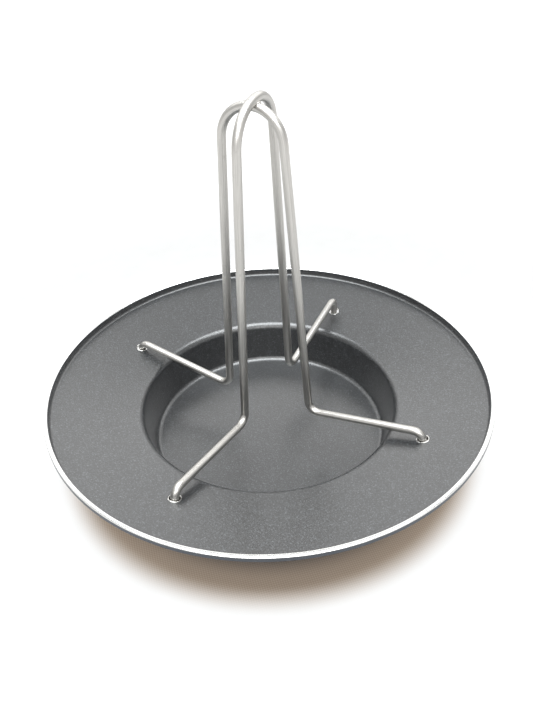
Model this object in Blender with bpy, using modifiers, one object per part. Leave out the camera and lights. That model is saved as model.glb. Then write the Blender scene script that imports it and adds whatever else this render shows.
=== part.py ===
"""Vertical poultry roaster: a round deep-welled pan and a lift-off stand of two crossed wire hoops.

Metres, +Z up. The pan stands on z = 0 and its axis is the Z axis. The lower hoop lies in the
XZ plane and the upper hoop in the YZ plane. Their four feet plug into four holes in the flange.
"""

import math

import bmesh
import bpy
from mathutils import Vector

PART_NAME = "poultry_roaster"
CLEARANCE = 0.0003

# Pan, measured on its upper surface
SHEET = 0.001
FLOOR_RADIUS = 0.0763
FLOOR_FILLET = 0.0035
WELL_RADIUS = 0.082
WELL_DEPTH = 0.0276
WELL_FILLET = 0.0040
LIP_RADIUS = 0.1371
LIP_BASE_Z = 0.0416
LIP_FILLET = 0.0018
LIP_TOP_RADIUS = 0.1381
LIP_TOP_Z = 0.0462

# Trim ring crimped over the lip
RING_OUTER_RADIUS = 0.140
RING_INNER_RADIUS = 0.1373
RING_METAL = 0.0005
RING_CROWN_Z = 0.0470
RING_CROWN_FILLET = 0.0009
RING_INNER_FOOT_Z = 0.0459
RING_OUTER_FOOT_Z = 0.0441

# Punched holes in the flange
HOLE_DIAMETER = 0.0068
FOOT_RADIUS = 0.104

# Hoops, measured along the centre of the wire. They are hand-bent: the arches sit a little off
# the axis, the upper arch is tighter at the back, and one arm rises more than the other.
WIRE = 0.005
PIN_LENGTH = 0.0144
FOOT_BEND = 0.0055
LEG_RADIUS = 0.0298
LEG_BEND = 0.007
LOWER_FOOT_Z = 0.0389
LOWER_LEG_Z = 0.0261
LOWER_ARCH_RADIUS = 0.0183
LOWER_ARCH_X = -0.0025
LOWER_TOP_Z = 0.2122
UPPER_FRONT_FOOT_Z = 0.0393
UPPER_FRONT_LEG_Z = 0.0294
UPPER_BACK_FOOT_Z = 0.0455
UPPER_BACK_LEG_Z = 0.0303
UPPER_FRONT_ARCH_RADIUS = 0.0225
UPPER_BACK_ARCH_RADIUS = 0.0141
UPPER_ARCH_Y = 0.0033
UPPER_TOP_Z = 0.2158

# Weld: the upper wire is pressed into the lower one, and metal is squeezed out round the crossing
WELD_RADIUS = 0.0036
WELD_SEGMENTS = 24
WELD_RINGS = 12
CUTTER_LENGTH = 0.014

# Surfaces: colour, roughness, metallic
COATING = ((0.10, 0.104, 0.108), 0.5, 0.2)
BRIGHT_METAL = ((0.85, 0.85, 0.84), 0.25, 1.0)
SATIN_METAL = ((0.62, 0.60, 0.57), 0.35, 1.0)

# Facets
TURN_STEPS = 72
FILLET_STEP = math.radians(15.0)
CROWN_STEP = math.radians(30.0)
ARCH_STEP = math.radians(7.5)
WIRE_SIDES_RESOLUTION = 3
CUTTER_SIDES = 32
SHARP_ANGLE = math.radians(35.0)
MERGE_DISTANCE = 0.00001


def clear_scene():
    for item in list(bpy.data.objects):
        bpy.data.objects.remove(item, do_unlink=True)


def make_collection(name):
    collection = bpy.data.collections.new(name)
    bpy.context.scene.collection.children.link(collection)
    return collection


def make_material(name, colour, roughness, metallic):
    material = bpy.data.materials.new(name)
    material.use_nodes = True
    shader = material.node_tree.nodes["Principled BSDF"]
    shader.inputs["Base Color"].default_value = (*colour, 1.0)
    shader.inputs["Roughness"].default_value = roughness
    shader.inputs["Metallic"].default_value = metallic
    return material


def rounded(corners, step=FILLET_STEP):
    """Points of an open outline: each corner (x, z, fillet radius) becomes a tangent arc."""
    points = [Vector(corners[0][:2])]
    for before, corner, after in zip(corners, corners[1:], corners[2:]):
        apex = Vector(corner[:2])
        back = (Vector(before[:2]) - apex).normalized()
        ahead = (Vector(after[:2]) - apex).normalized()
        half_opening = back.angle(ahead) / 2
        turn = math.pi - 2 * half_opening
        centre = apex + (back + ahead).normalized() * (corner[2] / math.sin(half_opening))
        start = apex + back * (corner[2] / math.tan(half_opening)) - centre
        sense = math.copysign(1.0, back.x * ahead.y - back.y * ahead.x)
        count = max(1, math.ceil(turn / step))
        for index in range(count + 1):
            angle = -sense * turn * index / count
            points.append(centre + Vector((
                start.x * math.cos(angle) - start.y * math.sin(angle),
                start.x * math.sin(angle) + start.y * math.cos(angle))))
    points.append(Vector(corners[-1][:2]))
    return points


def turned_object(name, outline, collection, closed=False):
    """Sweep an outline of (radius, height) points around the Z axis."""
    mesh = bpy.data.meshes.new(name)
    count = len(outline)
    edges = [(index, (index + 1) % count) for index in range(count if closed else count - 1)]
    mesh.from_pydata([(radius, 0.0, height) for radius, height in outline], edges, [])
    item = bpy.data.objects.new(name, mesh)
    collection.objects.link(item)
    screw = item.modifiers.new("Turn", "SCREW")
    screw.axis = "Z"
    screw.steps = TURN_STEPS
    screw.render_steps = TURN_STEPS
    screw.use_merge_vertices = True
    screw.merge_threshold = MERGE_DISTANCE
    return item


def wire_object(name, points, collection):
    """Round wire along (across, height) points in the XZ plane."""
    curve = bpy.data.curves.new(name, "CURVE")
    curve.dimensions = "3D"
    curve.bevel_depth = WIRE / 2
    curve.bevel_resolution = WIRE_SIDES_RESOLUTION
    curve.use_fill_caps = True
    spline = curve.splines.new("POLY")
    spline.points.add(len(points) - 1)
    for point, (across, height) in zip(spline.points, points):
        point.co = (across, 0.0, height, 1.0)
    spline.use_smooth = True
    source = bpy.data.objects.new(name, curve)
    solid = bmesh.new()
    solid.from_mesh(source.to_mesh())
    source.to_mesh_clear()
    bpy.data.objects.remove(source)
    bmesh.ops.remove_doubles(solid, verts=solid.verts, dist=MERGE_DISTANCE)
    mesh = bpy.data.meshes.new(name)
    solid.to_mesh(mesh)
    solid.free()
    item = bpy.data.objects.new(name, mesh)
    collection.objects.link(item)
    return item


def cylinder_cutter(name, radius, length, location, rotation, collection):
    mesh = bpy.data.meshes.new(name)
    solid = bmesh.new()
    bmesh.ops.create_cone(solid, cap_ends=True, segments=CUTTER_SIDES,
                          radius1=radius, radius2=radius, depth=length)
    solid.to_mesh(mesh)
    solid.free()
    item = bpy.data.objects.new(name, mesh)
    item.location = location
    item.rotation_euler = rotation
    item.hide_render = True
    item.display_type = "WIRE"
    collection.objects.link(item)
    return item


def subtract(item, cutter):
    boolean = item.modifiers.new("Cut " + cutter.name, "BOOLEAN")
    boolean.operation = "DIFFERENCE"
    boolean.solver = "EXACT"
    boolean.object = cutter


def shade_smooth(item):
    item.data.shade_smooth()
    item.data.set_sharp_from_angle(angle=SHARP_ANGLE)


def pan_outline():
    """Upper surface of the pan, from its centre out to the top of the lip."""
    return rounded([
        (0.0, SHEET, 0.0),
        (FLOOR_RADIUS, SHEET, FLOOR_FILLET),
        (WELL_RADIUS, SHEET + WELL_DEPTH, WELL_FILLET),
        (LIP_RADIUS, LIP_BASE_Z, LIP_FILLET),
        (LIP_TOP_RADIUS, LIP_TOP_Z, 0.0),
    ])


def make_pan(parts, cutters):
    pan = turned_object("pan_shell", pan_outline(), parts)
    sheet = pan.modifiers.new("Sheet", "SOLIDIFY")
    sheet.thickness = SHEET
    sheet.offset = -1.0
    sheet.use_even_offset = True
    for index in range(4):
        angle = math.radians(90.0 * index)
        place = (FOOT_RADIUS * math.cos(angle), FOOT_RADIUS * math.sin(angle), LIP_BASE_Z)
        hole = cylinder_cutter("hole_%d" % index, HOLE_DIAMETER / 2, LIP_BASE_Z,
                               place, (0.0, 0.0, 0.0), cutters)
        subtract(pan, hole)
    pan.data.materials.append(make_material("coated_steel", *COATING))
    shade_smooth(pan)


def make_rim_ring(parts):
    """Inverted U of thin metal that clears the pan's lip by CLEARANCE on every side."""
    outer = RING_OUTER_RADIUS
    outside = rounded([
        (RING_INNER_RADIUS, RING_INNER_FOOT_Z, 0.0),
        (RING_INNER_RADIUS, RING_CROWN_Z, RING_CROWN_FILLET),
        (outer, RING_CROWN_Z, RING_CROWN_FILLET),
        (outer, RING_OUTER_FOOT_Z, 0.0),
    ], CROWN_STEP)
    inner = RING_INNER_RADIUS + RING_METAL
    outer = RING_OUTER_RADIUS - RING_METAL
    inside = rounded([
        (outer, RING_OUTER_FOOT_Z, 0.0),
        (outer, RING_CROWN_Z - RING_METAL, RING_CROWN_FILLET - RING_METAL),
        (inner, RING_CROWN_Z - RING_METAL, RING_CROWN_FILLET - RING_METAL),
        (inner, RING_INNER_FOOT_Z, 0.0),
    ], CROWN_STEP)
    ring = turned_object("rim_ring", outside + inside, parts, closed=True)
    ring.data.materials.append(make_material("bright_trim", *BRIGHT_METAL))
    shade_smooth(ring)


def half_hoop(foot_z, leg_z, arch_radius, arch_x, top_z):
    """Centre line of the +X half: up the foot pin, in along the arm, up the leg, to the apex."""
    arch_z = top_z - arch_radius
    reach = math.hypot(LEG_RADIUS - arch_x, leg_z - arch_z)
    tangent = math.atan2(leg_z - arch_z, LEG_RADIUS - arch_x) + math.acos(arch_radius / reach)
    count = math.ceil((math.pi / 2 - tangent) / ARCH_STEP)
    arch = []
    for index in range(count + 1):
        angle = tangent + (math.pi / 2 - tangent) * index / count
        arch.append(Vector((arch_x + arch_radius * math.cos(angle),
                            arch_z + arch_radius * math.sin(angle))))
    return rounded([
        (FOOT_RADIUS, foot_z - PIN_LENGTH, 0.0),
        (FOOT_RADIUS, foot_z, FOOT_BEND),
        (LEG_RADIUS, leg_z, LEG_BEND),
        (arch[0].x, arch[0].y, 0.0),
    ]) + arch[1:]


def hoop_points(plus_side, minus_side, arch_x, top_z):
    """Each side is (foot height, leg height, arch radius). The minus side is mirrored in X."""
    plus = half_hoop(*plus_side, arch_x, top_z)
    minus = half_hoop(*minus_side, -arch_x, top_z)
    return plus + [Vector((-point.x, point.y)) for point in reversed(minus[:-1])]


def crossing(arch_radius, arch_offset, top_z):
    """Height and slope of an arch where it passes over the axis, beside its own centre."""
    height = top_z - arch_radius + math.sqrt(arch_radius ** 2 - arch_offset ** 2)
    return height, math.asin(arch_offset / arch_radius)


def make_hoop(name, parts, material, points, turn):
    hoop = wire_object(name, points, parts)
    hoop.rotation_euler = (0.0, 0.0, turn)
    hoop.data.materials.append(material)
    shade_smooth(hoop)
    return hoop


def make_crossing_cutters(cutters):
    """Straight stand-ins for the two wires at the crossing, thicker by CLEARANCE."""
    radius = WIRE / 2 + CLEARANCE
    quarter = math.pi / 2
    lower_z, lower_slope = crossing(LOWER_ARCH_RADIUS, LOWER_ARCH_X, LOWER_TOP_Z)
    upper_z, upper_slope = crossing(UPPER_FRONT_ARCH_RADIUS, UPPER_ARCH_Y, UPPER_TOP_Z)
    lower = cylinder_cutter("lower_wire", radius, CUTTER_LENGTH,
                            (0.0, 0.0, lower_z), (0.0, quarter - lower_slope, 0.0), cutters)
    upper = cylinder_cutter("upper_wire", radius, CUTTER_LENGTH,
                            (0.0, 0.0, upper_z), (quarter + upper_slope, 0.0, 0.0), cutters)
    return lower, upper


def make_weld(parts, lower, upper, material):
    """Metal squeezed out round the crossing, cut clear of both wires."""
    mesh = bpy.data.meshes.new("crossing_weld")
    solid = bmesh.new()
    bmesh.ops.create_uvsphere(solid, u_segments=WELD_SEGMENTS, v_segments=WELD_RINGS,
                              radius=WELD_RADIUS)
    solid.to_mesh(mesh)
    solid.free()
    weld = bpy.data.objects.new("crossing_weld", mesh)
    weld.location = (lower.location + upper.location) / 2
    parts.objects.link(weld)
    subtract(weld, lower)
    subtract(weld, upper)
    weld.data.materials.append(material)
    shade_smooth(weld)


def main():
    clear_scene()
    parts = make_collection(PART_NAME)
    cutters = make_collection("cutters")
    wire = make_material("stainless_wire", *SATIN_METAL)
    make_pan(parts, cutters)
    make_rim_ring(parts)
    lower_side = (LOWER_FOOT_Z, LOWER_LEG_Z, LOWER_ARCH_RADIUS)
    back_side = (UPPER_BACK_FOOT_Z, UPPER_BACK_LEG_Z, UPPER_BACK_ARCH_RADIUS)
    front_side = (UPPER_FRONT_FOOT_Z, UPPER_FRONT_LEG_Z, UPPER_FRONT_ARCH_RADIUS)
    lower = hoop_points(lower_side, lower_side, LOWER_ARCH_X, LOWER_TOP_Z)
    upper = hoop_points(back_side, front_side, UPPER_ARCH_Y, UPPER_TOP_Z)
    make_hoop("lower_hoop", parts, wire, lower, 0.0)
    upper_hoop = make_hoop("upper_hoop", parts, wire, upper, math.pi / 2)
    lower_cutter, upper_cutter = make_crossing_cutters(cutters)
    subtract(upper_hoop, lower_cutter)
    make_weld(parts, lower_cutter, upper_cutter, wire)


main()
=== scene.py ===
"""Looks of the vertical poultry roaster: speckled coated pan, bright trim ring, drawn wire stand."""
import math

import bmesh
import bpy
from mathutils import Matrix, Vector, noise


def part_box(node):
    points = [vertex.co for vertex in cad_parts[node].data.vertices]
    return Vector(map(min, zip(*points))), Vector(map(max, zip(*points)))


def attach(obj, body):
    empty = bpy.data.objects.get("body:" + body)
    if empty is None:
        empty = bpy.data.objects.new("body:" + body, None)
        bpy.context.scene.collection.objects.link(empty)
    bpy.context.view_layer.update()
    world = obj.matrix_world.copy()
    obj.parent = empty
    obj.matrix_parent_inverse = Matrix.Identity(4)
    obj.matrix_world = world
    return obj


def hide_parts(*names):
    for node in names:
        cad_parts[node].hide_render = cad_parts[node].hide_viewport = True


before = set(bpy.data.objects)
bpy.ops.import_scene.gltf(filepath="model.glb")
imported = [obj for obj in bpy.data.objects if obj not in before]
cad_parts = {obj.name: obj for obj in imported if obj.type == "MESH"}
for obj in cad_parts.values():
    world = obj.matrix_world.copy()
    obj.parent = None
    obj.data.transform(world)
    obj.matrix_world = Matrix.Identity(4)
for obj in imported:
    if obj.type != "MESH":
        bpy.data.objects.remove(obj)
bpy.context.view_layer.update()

# Pan, measured on its upper surface, in metres
SHEET = 0.001
FLOOR_RADIUS = 0.0763
FLOOR_FILLET = 0.0035
WELL_RADIUS = 0.082
WELL_TOP_Z = 0.0286
WELL_FILLET = 0.0055  # 4 mm on the CAD solid; the surfaces differ by less than 0.3 mm
LIP_RADIUS = 0.1371
LIP_BASE_Z = 0.0416
LIP_FILLET = 0.0018
LIP_TOP_RADIUS = 0.1381
LIP_TOP_Z = 0.0462

# Trim ring
RING_OUTER_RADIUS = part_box("rim_ring")[1].x
RING_CROWN_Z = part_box("rim_ring")[1].z
RING_OUTER_FOOT_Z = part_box("rim_ring")[0].z
RING_INNER_RADIUS = 0.1373
RING_INNER_FOOT_Z = 0.0459
RING_METAL = 0.0005
RING_CROWN_FILLET = 0.0009
GROUND_LOW = RING_CROWN_Z - 0.00056
GROUND_HIGH = RING_CROWN_Z - 0.00042

# Punched holes, and the bare ring where the coat has chipped off their edges
HOLE_DIAMETER = 0.0068
FOOT_RADIUS = 0.104
FLANGE_SLOPE = math.atan2(LIP_BASE_Z - WELL_TOP_Z, LIP_RADIUS - WELL_RADIUS)
HOLE_Z = WELL_TOP_Z + (FOOT_RADIUS - WELL_RADIUS) * math.tan(FLANGE_SLOPE)
EDGE_RADIUS = HOLE_DIAMETER / 2 + 0.0001
EDGE_LEAST = 0.00010
EDGE_WEAR = 0.00040
EDGE_WEAR_SHIFT = 0.25
EDGE_LUMPS = 2.1
EDGE_HEIGHT_SHARE = 0.75
CHIP_BORDER = (HOLE_DIAMETER / 2 + 0.00005, HOLE_DIAMETER / 2 + 0.00025)
CHIP_UNEVENNESS = 0.0030

# Hoops, along the centre of the wire
WIRE = 0.005
PIN_LENGTH = 0.0144
FOOT_BEND = 0.0055
LEG_RADIUS = 0.0298
LEG_BEND = 0.007
LOWER_FOOT_Z = 0.0389
LOWER_LEG_Z = 0.0261
LOWER_ARCH_RADIUS = 0.0183
LOWER_ARCH_X = -0.0025
LOWER_TOP_Z = 0.2122
UPPER_FRONT_FOOT_Z = 0.0393
UPPER_FRONT_LEG_Z = 0.0294
UPPER_BACK_FOOT_Z = 0.0455
UPPER_BACK_LEG_Z = 0.0303
UPPER_FRONT_ARCH_RADIUS = 0.0225
UPPER_BACK_ARCH_RADIUS = 0.0141
UPPER_ARCH_Y = 0.0033
UPPER_TOP_Z = 0.2158

# Wire ends: distance in from the end, and share of the full radius there
WIRE_END = [(0.0, 0.62), (0.0, 0.80), (0.00018, 0.92), (0.00050, 0.985), (0.0009, 1.0)]

# Weld bead: half sizes, the depth of its ripples as a share of them, and how many there are
WELD_HALF_SIZE = (0.0031, 0.0031, 0.0014)
WELD_RIPPLE = 0.10
WELD_LUMPS = 2.3

# Fineness of the visible meshes
ON_AXIS = 1e-7
TURN_STEPS = 288
RIM_STEPS = 360
PUNCH_STEPS = 64
PUNCH_TURN = math.radians(1.3)  # keeps the punch's corners off the corners of the pan
EDGE_STEPS = 72
EDGE_SIDES = 10
FILLET_STEP = math.radians(6.0)
FLAT_MARGIN = 0.0004
WIRE_SIDES = 24
WIRE_STEP = 0.0012
SMOOTH_ANGLE = math.radians(32.0)

# Colours in linear RGB and alpha. Noise mixes the two of a pair.
COAT_TONES = (0.001, 0.0012, 0.0016, 1.0), (0.006, 0.0066, 0.0072, 1.0)
COAT_FLAKE = (0.082, 0.089, 0.096, 1.0)
BARE_STEEL = (0.72, 0.71, 0.69, 1.0)
TORN_TONES = (0.45, 0.44, 0.42, 1.0), (0.92, 0.91, 0.88, 1.0)
WIRE_TONES = (0.40, 0.390, 0.371, 1.0), (0.55, 0.537, 0.512, 1.0)
WIRE_MARK = (0.29, 0.28, 0.26, 1.0)
CROWN_TONES = (0.78, 0.78, 0.77, 1.0), (0.90, 0.90, 0.89, 1.0)
SKIRT_TONES = (0.014, 0.018, 0.026, 1.0), (0.026, 0.032, 0.042, 1.0)
# Painted shadow: this dark pair is painted on the floor under the pan, where the pan's shade falls.
FLOOR_PAINTED_SHADOW = (0.058, 0.056, 0.056, 1.0), (0.084, 0.081, 0.080, 1.0)
# Partly the cloth's real tan and partly painted shade: it is painted only in the ring of shade just
# past the rim, a little darker than the pale floor.
FLOOR_TAN_IN_PAINTED_SHADE = (0.32, 0.248, 0.186, 1.0), (0.44, 0.356, 0.282, 1.0)
FLOOR_PALE = (0.33, 0.327, 0.324, 1.0), (0.36, 0.357, 0.354, 1.0)
WHITE = (1.0, 1.0, 1.0, 1.0)
SKY = (1.0, 1.0, 0.995, 1.0)
COOL_LAMP = (0.94, 0.98, 1.0)
WHITE_LAMP = (1.0, 1.0, 1.0)

# Floor: its half size, its drop under the pan, and its thread spacing
FLOOR_REACH = 6.0
FLOOR_DROP = 0.0002
WEAVE = 0.0018

# Where the floor's colour changes, from painted shadow to painted tan shade to pale, and each change
# of its glow, by distance from the axis
PAINTED_SHADOW_TO_TAN = (0.100, 0.120)
PAINTED_SHADE_TO_PALE = (0.124, 0.142)
GLOW_CHANGES = [((0.123, 0.140), 0.42), ((0.18, 0.26), -0.35), ((0.28, 0.60), 0.6)]

# Camera, round the centre of the rim: degrees, metres, and millimetres for the lens
CAMERA_AZIMUTH = 30.83
CAMERA_ELEVATION = 38.118
CAMERA_DISTANCE = 0.4095
CAMERA_TARGET_Z = 0.04654
CAMERA_TILT = 1.584
CAMERA_ROLL = -2.764
CAMERA_LENS = 32.27


# ---------------------------------------------------------------- outlines and meshes

def rounded(corners):
    """Points of an open outline: each corner (x, z, fillet radius) becomes a tangent arc."""
    points = [Vector(corners[0][:2])]
    for before, corner, after in zip(corners, corners[1:], corners[2:]):
        apex = Vector(corner[:2])
        back = (Vector(before[:2]) - apex).normalized()
        ahead = (Vector(after[:2]) - apex).normalized()
        half_opening = back.angle(ahead) / 2
        turn = math.pi - 2 * half_opening
        centre = apex + (back + ahead).normalized() * (corner[2] / math.sin(half_opening))
        start = apex + back * (corner[2] / math.tan(half_opening)) - centre
        sense = math.copysign(1.0, back.x * ahead.y - back.y * ahead.x)
        count = max(1, math.ceil(turn / FILLET_STEP))
        for index in range(count + 1):
            angle = -sense * turn * index / count
            points.append(centre + Vector((
                start.x * math.cos(angle) - start.y * math.sin(angle),
                start.x * math.sin(angle) + start.y * math.cos(angle))))
    points.append(Vector(corners[-1][:2]))
    return points


def held_flat(points):
    """Extra points close to both ends of each long straight run, which keep its shading flat."""
    result = [points[0]]
    for before, after in zip(points, points[1:]):
        length = (after - before).length
        if length > 4 * FLAT_MARGIN:
            result.append(before.lerp(after, FLAT_MARGIN / length))
            result.append(after.lerp(before, FLAT_MARGIN / length))
        result.append(after)
    return result


def offset_outline(points, distance):
    """The same open outline moved sideways, to the right when distance is positive."""
    moved = []
    for index, point in enumerate(points):
        before = points[max(index - 1, 0)]
        after = points[min(index + 1, len(points) - 1)]
        along = (after - before).normalized()
        moved.append(point + Vector((along.y, -along.x)) * distance)
    return moved


def resampled(points, step):
    """Points a fixed step apart along a polyline, both ends kept."""
    lengths = [0.0]
    for before, after in zip(points, points[1:]):
        lengths.append(lengths[-1] + (after - before).length)
    count = max(2, round(lengths[-1] / step))
    result = []
    segment = 0
    for index in range(count + 1):
        reach = lengths[-1] * index / count
        while segment < len(points) - 2 and lengths[segment + 1] < reach:
            segment += 1
        span = lengths[segment + 1] - lengths[segment]
        result.append(points[segment].lerp(points[segment + 1], (reach - lengths[segment]) / span))
    return result


def finish_mesh(name, solid, material, body, node=None):
    """Turn a bmesh into a piece that rides on a body, and that may stand for a CAD node."""
    bmesh.ops.recalc_face_normals(solid, faces=solid.faces)
    mesh = bpy.data.meshes.new(name)
    solid.to_mesh(mesh)
    solid.free()
    mesh.shade_smooth()
    mesh.set_sharp_from_angle(angle=SMOOTH_ANGLE)
    piece = bpy.data.objects.new(name, mesh)
    bpy.context.scene.collection.objects.link(piece)
    mesh.materials.append(material)
    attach(piece, body)
    if node:
        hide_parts(node)
    return piece


def turned(outline, closed, steps=TURN_STEPS):
    """Sweep (radius, height) points around Z. Points on the axis become single vertices.
    UV: metres around at the outline point's radius, and metres along the outline."""
    solid = bmesh.new()
    uv = solid.loops.layers.uv.new("sweep")
    travel = [0.0]
    for before, after in zip(outline, outline[1:] + outline[:1]):
        travel.append(travel[-1] + (after - before).length)
    rings = []
    for radius, height in outline:
        if radius < ON_AXIS:
            rings.append([solid.verts.new((0.0, 0.0, height))] * steps)
            continue
        ring = []
        for index in range(steps):
            angle = 2 * math.pi * index / steps
            ring.append(solid.verts.new(
                (radius * math.cos(angle), radius * math.sin(angle), height)))
        rings.append(ring)
    count = len(outline)
    for row in range(count if closed else count - 1):
        following = (row + 1) % count
        for index in range(steps):
            beside = (index + 1) % steps
            corners = [(row, index), (row, index + 1), (row + 1, index + 1), (row + 1, index)]
            verts = [rings[row][index], rings[row][beside],
                     rings[following][beside], rings[following][index]]
            kept, places = [], []
            for vert, place in zip(verts, corners):
                if vert not in kept:
                    kept.append(vert)
                    places.append(place)
            if len(kept) < 3:
                continue
            face = solid.faces.new(kept)
            for loop, (along, around) in zip(face.loops, places):
                radius = outline[along % count].x
                loop[uv].uv = (2 * math.pi * radius * around / steps, travel[along])
    return solid


def swept_wire(path):
    """A round wire along a planar path in XZ, with eased ends.
    UV: metres along the wire, and metres around it."""
    solid = bmesh.new()
    uv = solid.loops.layers.uv.new("sweep")
    radius = WIRE / 2
    stations = []
    travel = 0.0
    for index, point in enumerate(path):
        before = path[max(index - 1, 0)]
        after = path[min(index + 1, len(path) - 1)]
        along = (after - before).normalized()
        if index:
            travel += (point - before).length
        stations.append((point, along, travel, 1.0))
    first, last = stations[0], stations[-1]
    head = [(first[0] + first[1] * away, first[1], away, share) for away, share in WIRE_END]
    tail = [(last[0] - last[1] * away, last[1], travel - away, share)
            for away, share in reversed(WIRE_END)]
    stations = head + stations[1:-1] + tail
    rings = []
    for point, along, reach, share in stations:
        centre = Vector((point.x, 0.0, point.y))
        out = Vector((-along.y, 0.0, along.x))
        side = Vector((0.0, 1.0, 0.0))
        ring = []
        for index in range(WIRE_SIDES):
            angle = 2 * math.pi * index / WIRE_SIDES
            ring.append(solid.verts.new(
                centre + (out * math.cos(angle) + side * math.sin(angle)) * radius * share))
        rings.append((ring, reach))
    for (ring, reach), (following, further) in zip(rings, rings[1:]):
        for index in range(WIRE_SIDES):
            beside = (index + 1) % WIRE_SIDES
            face = solid.faces.new([ring[index], ring[beside], following[beside], following[index]])
            places = [(reach, index), (reach, index + 1), (further, index + 1), (further, index)]
            for loop, (u, around) in zip(face.loops, places):
                loop[uv].uv = (u, 2 * math.pi * radius * around / WIRE_SIDES)
    solid.faces.new(reversed(rings[0][0]))
    solid.faces.new(rings[-1][0])
    return solid


def half_hoop(foot_z, leg_z, arch_radius, arch_x, top_z):
    """Centre line of the +X half: up the foot pin, in along the arm, up the leg, to the apex."""
    arch_z = top_z - arch_radius
    reach = math.hypot(LEG_RADIUS - arch_x, leg_z - arch_z)
    tangent = math.atan2(leg_z - arch_z, LEG_RADIUS - arch_x) + math.acos(arch_radius / reach)
    count = math.ceil((math.pi / 2 - tangent) / FILLET_STEP)
    arch = []
    for index in range(count + 1):
        angle = tangent + (math.pi / 2 - tangent) * index / count
        arch.append(Vector((arch_x + arch_radius * math.cos(angle),
                            arch_z + arch_radius * math.sin(angle))))
    return rounded([
        (FOOT_RADIUS, foot_z - PIN_LENGTH, 0.0),
        (FOOT_RADIUS, foot_z, FOOT_BEND),
        (LEG_RADIUS, leg_z, LEG_BEND),
        (arch[0].x, arch[0].y, 0.0),
    ]) + arch[1:]


def hoop_path(plus_side, minus_side, arch_x, top_z):
    """Each side is (foot height, leg height, arch radius). The minus side is mirrored in X."""
    plus = half_hoop(*plus_side, arch_x, top_z)
    minus = half_hoop(*minus_side, -arch_x, top_z)
    whole = plus + [Vector((-point.x, point.y)) for point in reversed(minus[:-1])]
    return resampled(whole, WIRE_STEP)


# ---------------------------------------------------------------- shader building

class Nodes:
    """Short words for building a node tree. A value is a number or another node's output."""

    def __init__(self, tree):
        self.tree = tree

    def node(self, kind, **settings):
        made = self.tree.nodes.new(kind)
        for key, value in settings.items():
            setattr(made, key, value)
        return made

    def put(self, socket, value):
        if isinstance(value, bpy.types.NodeSocket):
            self.tree.links.new(value, socket)
        else:
            socket.default_value = value

    def math(self, operation, first, second=0.0):
        made = self.node("ShaderNodeMath", operation=operation)
        self.put(made.inputs[0], first)
        self.put(made.inputs[1], second)
        return made.outputs[0]

    def add(self, first, second):
        return self.math("ADD", first, second)

    def times(self, first, second):
        return self.math("MULTIPLY", first, second)

    def swing(self, value, width):
        """A value from 0 to 1, made to vary round zero over a width."""
        return self.times(self.math("SUBTRACT", value, 0.5), width)

    def ramp(self, value, low, high, to_low=0.0, to_high=1.0, smooth=True):
        """Goes from to_low to to_high while the value goes from low to high."""
        made = self.node("ShaderNodeMapRange")
        made.interpolation_type = "SMOOTHSTEP" if smooth else "LINEAR"
        self.put(made.inputs["Value"], value)
        for key, number in (("From Min", low), ("From Max", high),
                            ("To Min", to_low), ("To Max", to_high)):
            made.inputs[key].default_value = number
        return made.outputs["Result"]

    def split(self, vector):
        """The X, Y and Z of a vector."""
        made = self.node("ShaderNodeSeparateXYZ")
        self.put(made.inputs[0], vector)
        return made.outputs

    def length(self, vector):
        made = self.node("ShaderNodeVectorMath", operation="LENGTH")
        self.put(made.inputs[0], vector)
        return made.outputs["Value"]

    def along(self, vector, direction):
        """How far a vector reaches in a direction."""
        made = self.node("ShaderNodeVectorMath", operation="DOT_PRODUCT")
        self.put(made.inputs[0], vector)
        made.inputs[1].default_value = direction
        return made.outputs["Value"]


class Shader(Nodes):
    """The node tree of one new material."""

    def __init__(self, name):
        self.material = bpy.data.materials.new(name)
        self.material.use_nodes = True
        super().__init__(self.material.node_tree)
        self.surface = self.tree.nodes["Principled BSDF"]

    def place(self):
        return self.node("ShaderNodeTexCoord").outputs["Object"]

    def sweep(self, along, across):
        """UV of a swept piece, in metres, stretched by two factors."""
        uv = self.node("ShaderNodeUVMap", uv_map="sweep")
        mapping = self.node("ShaderNodeMapping")
        mapping.inputs["Scale"].default_value = (along, across, 1.0)
        self.put(mapping.inputs["Vector"], uv.outputs["UV"])
        return mapping.outputs["Vector"]

    def noise(self, vector, scale, detail=2.0, roughness=0.5):
        """Smooth noise from 0 to 1. The scale is in lumps to each unit of the vector."""
        made = self.node("ShaderNodeTexNoise")
        self.put(made.inputs["Vector"], vector)
        made.inputs["Scale"].default_value = scale
        made.inputs["Detail"].default_value = detail
        made.inputs["Roughness"].default_value = roughness
        return made.outputs["Fac"]

    def cells(self, vector, scale):
        """A random value for each cell. The scale is in cells to each unit of the vector."""
        made = self.node("ShaderNodeTexVoronoi")
        self.put(made.inputs["Vector"], vector)
        made.inputs["Scale"].default_value = scale
        split = self.node("ShaderNodeSeparateColor")
        self.put(split.inputs["Color"], made.outputs["Color"])
        return split.outputs[0]

    def mix(self, share, first, second):
        made = self.node("ShaderNodeMix", data_type="RGBA")
        self.put(made.inputs[0], share)
        self.put(made.inputs[6], first)
        self.put(made.inputs[7], second)
        return made.outputs[2]

    def bump(self, height, distance, strength=1.0, normal=None):
        made = self.node("ShaderNodeBump")
        made.inputs["Strength"].default_value = strength
        made.inputs["Distance"].default_value = distance
        self.put(made.inputs["Height"], height)
        if normal is not None:
            self.put(made.inputs["Normal"], normal)
        return made.outputs["Normal"]

    def finish(self, **sockets):
        for name, value in sockets.items():
            self.put(self.surface.inputs[name.replace("_", " ")], value)
        return self.material


# ---------------------------------------------------------------- materials

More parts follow.
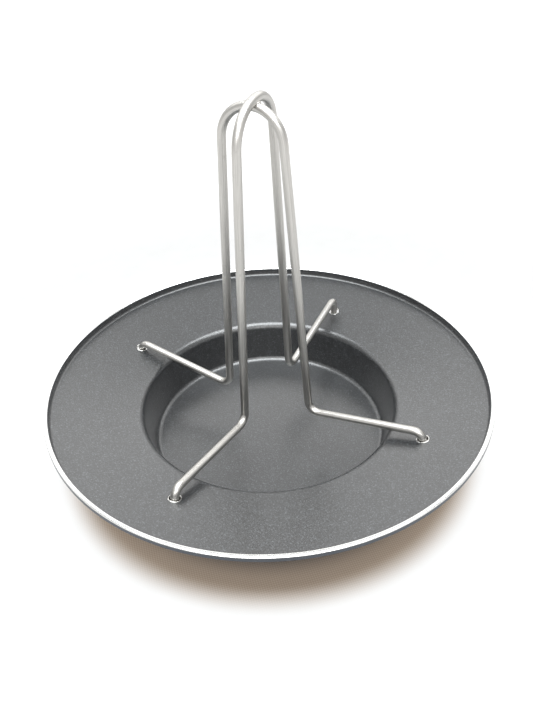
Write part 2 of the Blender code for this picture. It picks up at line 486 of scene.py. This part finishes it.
def chipped(s, place):
    """1 close to a punched hole and 0 further out, with a ragged border."""
    x, y, _ = s.split(place)
    across = s.math("ABSOLUTE", x)
    beside = s.math("ABSOLUTE", y)
    outward = s.math("SUBTRACT", s.math("MAXIMUM", across, beside), FOOT_RADIUS)
    sideways = s.math("MINIMUM", across, beside)
    squares = s.add(s.math("POWER", outward, 2.0), s.math("POWER", sideways, 2.0))
    distance = s.math("SQRT", squares)
    ragged = s.add(distance, s.swing(s.noise(place, 520.0, detail=3.0), CHIP_UNEVENNESS))
    return s.ramp(ragged, *CHIP_BORDER, 1.0, 0.0)


def coated_steel():
    """Semi-matt non-stick coat: near black with fine grey flakes, a little cloudy."""
    s = Shader("speckled_coat")
    place = s.place()
    grain = s.noise(place, 1000.0, roughness=0.6)
    tone = s.add(s.times(s.cells(place, 1500.0), 0.45), s.times(grain, 0.55))
    tone = s.add(tone, s.swing(s.noise(place, 34.0, detail=4.0), 0.5))
    tone = s.ramp(tone, 0.15, 0.85, smooth=False)
    colour = s.mix(tone, *COAT_TONES)
    flake = s.times(s.ramp(s.cells(place, 2300.0), 0.52, 1.0), s.ramp(grain, 0.35, 0.65))
    colour = s.mix(s.times(flake, 0.8), colour, COAT_FLAKE)
    bare = chipped(s, place)
    colour = s.mix(bare, colour, BARE_STEEL)
    rough = s.add(0.33, s.times(s.noise(place, 700.0), 0.12))
    rough = s.add(rough, s.swing(s.noise(place, 12.0, detail=3.0), 0.10))
    pits = s.bump(s.noise(place, 1150.0, detail=1.0), distance=0.00010, strength=0.9)
    peel = s.noise(place, 300.0, detail=1.0)
    sparkle = s.noise(place, 1000.0, detail=1.0)
    return s.finish(
        Base_Color=colour,
        Roughness=rough,
        Metallic=bare,
        Normal=s.bump(peel, distance=0.00005, strength=0.25, normal=pits),
        Coat_Normal=s.bump(sparkle, distance=0.00012, strength=0.9),
        IOR=1.45,
        Coat_Weight=1.0,
        Coat_Roughness=0.28,
        Coat_IOR=1.65,
    )


def drawn_wire():
    """Satin stainless wire: fine streaks along its length, small handling marks."""
    s = Shader("drawn_wire")
    streak = s.noise(s.sweep(30.0, 2600.0), 1.0, detail=3.0, roughness=0.6)
    band = s.noise(s.sweep(9.0, 700.0), 1.0)
    marks = s.noise(s.place(), 240.0, detail=3.0, roughness=0.6)
    colour = s.mix(s.ramp(streak, 0.3, 0.7), *WIRE_TONES)
    colour = s.mix(s.ramp(marks, 0.62, 0.75, 0.0, 0.35), colour, WIRE_MARK)
    rough = s.add(0.24, s.times(band, 0.12))
    return s.finish(
        Base_Color=colour,
        Roughness=s.add(rough, s.times(streak, 0.08)),
        Metallic=1.0,
        Normal=s.bump(streak, distance=0.00002, strength=0.6),
    )


def bright_trim():
    """Rim with a bright ground crown. Its outer skirt keeps a blue-grey coat."""
    s = Shader("bright_trim")
    place = s.place()
    line = s.noise(s.sweep(25.0, 4200.0), 1.0, detail=3.0, roughness=0.6)
    dull = s.noise(place, 130.0, detail=3.0)
    bright = s.mix(s.ramp(line, 0.3, 0.7), *CROWN_TONES)
    coat = s.mix(dull, *SKIRT_TONES)
    height = s.add(s.split(place)[2], s.swing(dull, 0.0002))
    crown = s.ramp(height, GROUND_LOW, GROUND_HIGH)
    return s.finish(
        Base_Color=s.mix(crown, coat, bright),
        Roughness=s.add(s.ramp(crown, 0.0, 1.0, 0.34, 0.13), s.times(dull, 0.12)),
        Metallic=crown,
        Normal=s.bump(line, distance=0.00001, strength=0.4),
    )


def torn_steel():
    """Bare punched edge: bright, rough and slightly uneven."""
    s = Shader("bare_edge")
    grit = s.noise(s.place(), 2600.0, detail=3.0)
    return s.finish(
        Base_Color=s.mix(grit, *TORN_TONES),
        Roughness=s.add(0.18, s.times(grit, 0.25)),
        Metallic=1.0,
        Normal=s.bump(grit, distance=0.00008, strength=0.8),
    )


def pale_floor_with_painted_shadow():
    """Pale cloth with a painted shadow: a painted grey-brown shadow under the pan, the cloth's tan
    painted as shade just past it, and glowing slightly further out.
    """
    s = Shader("pale_floor_with_painted_shadow")
    place = s.place()
    away = s.length(place)
    x, y, _ = s.split(place)
    thread = 2 * math.pi / WEAVE
    crossing = s.times(s.math("SINE", s.times(x, thread)), s.math("SINE", s.times(y, thread)))
    weave = s.add(s.times(crossing, 0.5), 0.5)
    pale = s.mix(s.noise(place, 55.0, detail=3.0), *FLOOR_PALE)
    # Painted shadow under the pan, then painted tan shade just past the rim, then the pale cloth.
    near = s.mix(s.ramp(away, *PAINTED_SHADOW_TO_TAN), s.mix(weave, *FLOOR_PAINTED_SHADOW), s.mix(weave, *FLOOR_TAN_IN_PAINTED_SHADE))
    glow = 0.0
    for span, change in GLOW_CHANGES:
        glow = s.add(glow, s.ramp(away, *span, 0.0, change))
    return s.finish(
        Base_Color=s.mix(s.ramp(away, *PAINTED_SHADE_TO_PALE), near, pale),
        Roughness=0.8,
        Emission_Color=WHITE,
        Emission_Strength=glow,
    )


# ---------------------------------------------------------------- pieces

def pan_outline():
    top = held_flat(rounded([
        (0.0, SHEET, 0.0),
        (FLOOR_RADIUS, SHEET, FLOOR_FILLET),
        (WELL_RADIUS, WELL_TOP_Z, WELL_FILLET),
        (LIP_RADIUS, LIP_BASE_Z, LIP_FILLET),
        (LIP_TOP_RADIUS, LIP_TOP_Z, 0.0),
    ]))
    under = offset_outline(top, SHEET)
    under[0] = Vector((0.0, 0.0))
    return top + list(reversed(under))


def make_pan(material):
    solid = turned(pan_outline(), closed=False)
    pan = finish_mesh("pan", solid, material, "pan", "pan_shell")
    for index in range(4):
        angle = math.radians(90.0 * index)
        mesh = bpy.data.meshes.new("punch")
        punch = bmesh.new()
        bmesh.ops.create_cone(punch, cap_ends=True, segments=PUNCH_STEPS,
                              radius1=HOLE_DIAMETER / 2, radius2=HOLE_DIAMETER / 2,
                              depth=LIP_BASE_Z / 2)
        punch.to_mesh(mesh)
        punch.free()
        tool = bpy.data.objects.new("punch", mesh)
        tool.location = (FOOT_RADIUS * math.cos(angle), FOOT_RADIUS * math.sin(angle), HOLE_Z)
        tool.rotation_euler.z = PUNCH_TURN
        bpy.context.scene.collection.objects.link(tool)
        cut = pan.modifiers.new("hole", "BOOLEAN")
        cut.object = tool
        cut.solver = "EXACT"
        graph = bpy.context.evaluated_depsgraph_get()
        result = bpy.data.meshes.new_from_object(pan.evaluated_get(graph))
        pan.modifiers.clear()
        pan.data = result
        bpy.data.objects.remove(tool)
    pan.data.shade_smooth()
    pan.data.set_sharp_from_angle(angle=SMOOTH_ANGLE)
    return pan


def make_rim(material):
    outer = RING_OUTER_RADIUS
    outside = rounded([
        (RING_INNER_RADIUS, RING_INNER_FOOT_Z, 0.0),
        (RING_INNER_RADIUS, RING_CROWN_Z, RING_CROWN_FILLET),
        (outer, RING_CROWN_Z, RING_CROWN_FILLET),
        (outer, RING_OUTER_FOOT_Z, 0.0),
    ])
    inner = RING_INNER_RADIUS + RING_METAL
    outer = RING_OUTER_RADIUS - RING_METAL
    inside = rounded([
        (outer, RING_OUTER_FOOT_Z, 0.0),
        (outer, RING_CROWN_Z - RING_METAL, RING_CROWN_FILLET - RING_METAL),
        (inner, RING_CROWN_Z - RING_METAL, RING_CROWN_FILLET - RING_METAL),
        (inner, RING_INNER_FOOT_Z, 0.0),
    ])
    solid = turned(outside + inside, closed=True, steps=RIM_STEPS)
    return finish_mesh("rim", solid, material, "pan", "rim_ring")


def make_hoop(name, node, path, turn, material):
    solid = swept_wire(path)
    bmesh.ops.rotate(solid, verts=solid.verts, matrix=Matrix.Rotation(turn, 3, "Z"))
    return finish_mesh(name, solid, material, "stand", node)


def make_weld(material):
    """A small uneven bead that wets both wires where they cross."""
    low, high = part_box("crossing_weld")
    centre = (low + high) / 2
    solid = bmesh.new()
    bmesh.ops.create_icosphere(solid, subdivisions=4, radius=1.0)
    for vert in solid.verts:
        way = vert.co.copy()
        ripple = 1.0 + WELD_RIPPLE * noise.noise(way * WELD_LUMPS)
        reach = [share * half for share, half in zip(way, WELD_HALF_SIZE)]
        vert.co = Vector(reach) * ripple + centre
    return finish_mesh("weld", solid, material, "stand", "crossing_weld")


def make_hole_edge(index, material):
    """The punched edge of one hole, where the coat has chipped off: a thin uneven ring."""
    own_noise = Vector((7.3 * index, 1.7, 0.4))
    solid = bmesh.new()
    rings = []
    for step in range(EDGE_STEPS):
        turn = 2 * math.pi * step / EDGE_STEPS
        out = Vector((math.cos(turn), math.sin(turn), 0.0))
        worn = noise.noise(out * EDGE_LUMPS + own_noise) + EDGE_WEAR_SHIFT
        tube = EDGE_LEAST + EDGE_WEAR * min(max(worn, 0.0), 1.0)
        ring = []
        for side in range(EDGE_SIDES):
            angle = 2 * math.pi * side / EDGE_SIDES
            rise = Vector((0.0, 0.0, tube * EDGE_HEIGHT_SHARE * math.sin(angle)))
            ring.append(solid.verts.new(out * (EDGE_RADIUS + tube * math.cos(angle)) + rise))
        rings.append(ring)
    for ring, following in zip(rings, rings[1:] + rings[:1]):
        for side in range(EDGE_SIDES):
            beside = (side + 1) % EDGE_SIDES
            solid.faces.new([ring[side], following[side], following[beside], ring[beside]])
    lean = Matrix.Rotation(-FLANGE_SLOPE, 4, "Y")
    place = Matrix.Translation((FOOT_RADIUS, 0.0, HOLE_Z))
    spin = Matrix.Rotation(math.radians(90.0 * index), 4, "Z")
    bmesh.ops.transform(solid, verts=solid.verts, matrix=spin @ place @ lean)
    return finish_mesh("hole_edge_%d" % index, solid, material, "pan")


# ---------------------------------------------------------------- stage

def make_camera():
    data = bpy.data.cameras.new("camera")
    data.lens = CAMERA_LENS
    data.sensor_width = 36.0
    camera = bpy.data.objects.new("camera", data)
    bpy.context.scene.collection.objects.link(camera)
    azimuth = math.radians(CAMERA_AZIMUTH)
    elevation = math.radians(CAMERA_ELEVATION)
    back = Vector((math.sin(azimuth) * math.cos(elevation),
                   -math.cos(azimuth) * math.cos(elevation), math.sin(elevation)))
    look = (-back).to_track_quat("-Z", "Y").to_matrix()
    tilt = Matrix.Rotation(math.radians(CAMERA_TILT), 3, "X")
    roll = Matrix.Rotation(math.radians(CAMERA_ROLL), 3, "Z")
    target = Vector((0.0, 0.0, CAMERA_TARGET_Z))
    camera.matrix_world = Matrix.LocRotScale(
        target + back * CAMERA_DISTANCE, (look @ tilt @ roll).to_quaternion(), None)
    bpy.context.scene.camera = camera


def make_floor():
    solid = bmesh.new()
    bmesh.ops.create_grid(solid, x_segments=2, y_segments=2, size=FLOOR_REACH)
    mesh = bpy.data.meshes.new("floor")
    solid.to_mesh(mesh)
    solid.free()
    mesh.materials.append(pale_floor_with_painted_shadow())
    floor = bpy.data.objects.new("floor", mesh)
    floor.location.z = -FLOOR_DROP
    bpy.context.scene.collection.objects.link(floor)


def staged(behind, left, height):
    """A place given by how far it is behind, left of and above the pan, seen from the camera."""
    azimuth = math.radians(CAMERA_AZIMUTH)
    away = Vector((-math.sin(azimuth), math.cos(azimuth), 0.0))
    side = Vector((-math.cos(azimuth), -math.sin(azimuth), 0.0))
    return away * behind + side * left + Vector((0.0, 0.0, height))


def make_area(name, place, size, radiance, colour, aim=None):
    """A lamp facing down and squared up with the camera, or facing along aim.
    The radiance is how bright its face is, whatever its size."""
    data = bpy.data.lights.new(name, "AREA")
    data.shape = "RECTANGLE"
    data.size, data.size_y = size
    data.energy = radiance * math.pi * size[0] * size[1]
    data.color = colour
    lamp = bpy.data.objects.new(name, data)
    lamp.location = place
    lamp.rotation_euler = (0.0, 0.0, math.radians(CAMERA_AZIMUTH))
    if aim:
        lamp.rotation_euler = aim.to_track_quat("-Z", "Y").to_euler()
    bpy.context.scene.collection.objects.link(lamp)


def make_world():
    """Pale surroundings. Behind the pan they are dimmer, but for a bright band half way up.
    Height is the sine of the elevation, and behind is 1 straight behind the pan."""
    world = bpy.data.worlds.new("studio")
    bpy.context.scene.world = world
    world.use_nodes = True
    s = Nodes(world.node_tree)
    way = s.node("ShaderNodeTexCoord").outputs["Generated"]
    height = s.along(way, (0.0, 0.0, 1.0))
    behind = s.along(way, staged(1.0, 0.0, 0.0))
    band = s.times(s.ramp(height, 0.26, 0.48), s.ramp(height, 0.58, 0.82, 1.0, 0.20))
    band = s.times(band, s.ramp(behind, -0.1, 0.5, 0.0, 2.05))
    dim = s.times(s.ramp(behind, -0.4, 0.3, 0.0, -0.70), s.ramp(height, 0.14, 0.32))
    sky = world.node_tree.nodes["Background"]
    sky.inputs["Color"].default_value = SKY
    s.put(sky.inputs["Strength"], s.add(s.add(band, dim), 1.0))


def make_stage():
    make_camera()
    make_floor()
    make_world()
    back = staged(0.24, 0.0, 1.15)
    above = staged(-0.20, 0.0, 1.15)
    front = staged(-1.0, 0.0, 0.85)
    make_area("back_panel", back, size=(1.2, 0.24), radiance=8.5, colour=COOL_LAMP)
    make_area("top_panel", above, size=(1.2, 0.60), radiance=9.0, colour=COOL_LAMP)
    make_area("front_panel", front, size=(1.2, 0.35), radiance=5.5, colour=WHITE_LAMP, aim=-front)
    bpy.context.scene.view_settings.view_transform = "Standard"


# ---------------------------------------------------------------- the object

def make_object():
    wire = drawn_wire()
    make_pan(coated_steel())
    make_rim(bright_trim())
    lower_side = (LOWER_FOOT_Z, LOWER_LEG_Z, LOWER_ARCH_RADIUS)
    back_side = (UPPER_BACK_FOOT_Z, UPPER_BACK_LEG_Z, UPPER_BACK_ARCH_RADIUS)
    front_side = (UPPER_FRONT_FOOT_Z, UPPER_FRONT_LEG_Z, UPPER_FRONT_ARCH_RADIUS)
    lower = hoop_path(lower_side, lower_side, LOWER_ARCH_X, LOWER_TOP_Z)
    upper = hoop_path(back_side, front_side, UPPER_ARCH_Y, UPPER_TOP_Z)
    make_hoop("hoop_low", "lower_hoop", lower, 0.0, wire)
    make_hoop("hoop_high", "upper_hoop", upper, math.pi / 2, wire)
    make_weld(wire)
    edge = torn_steel()
    for index in range(4):
        make_hole_edge(index, edge)


make_stage()
make_object()
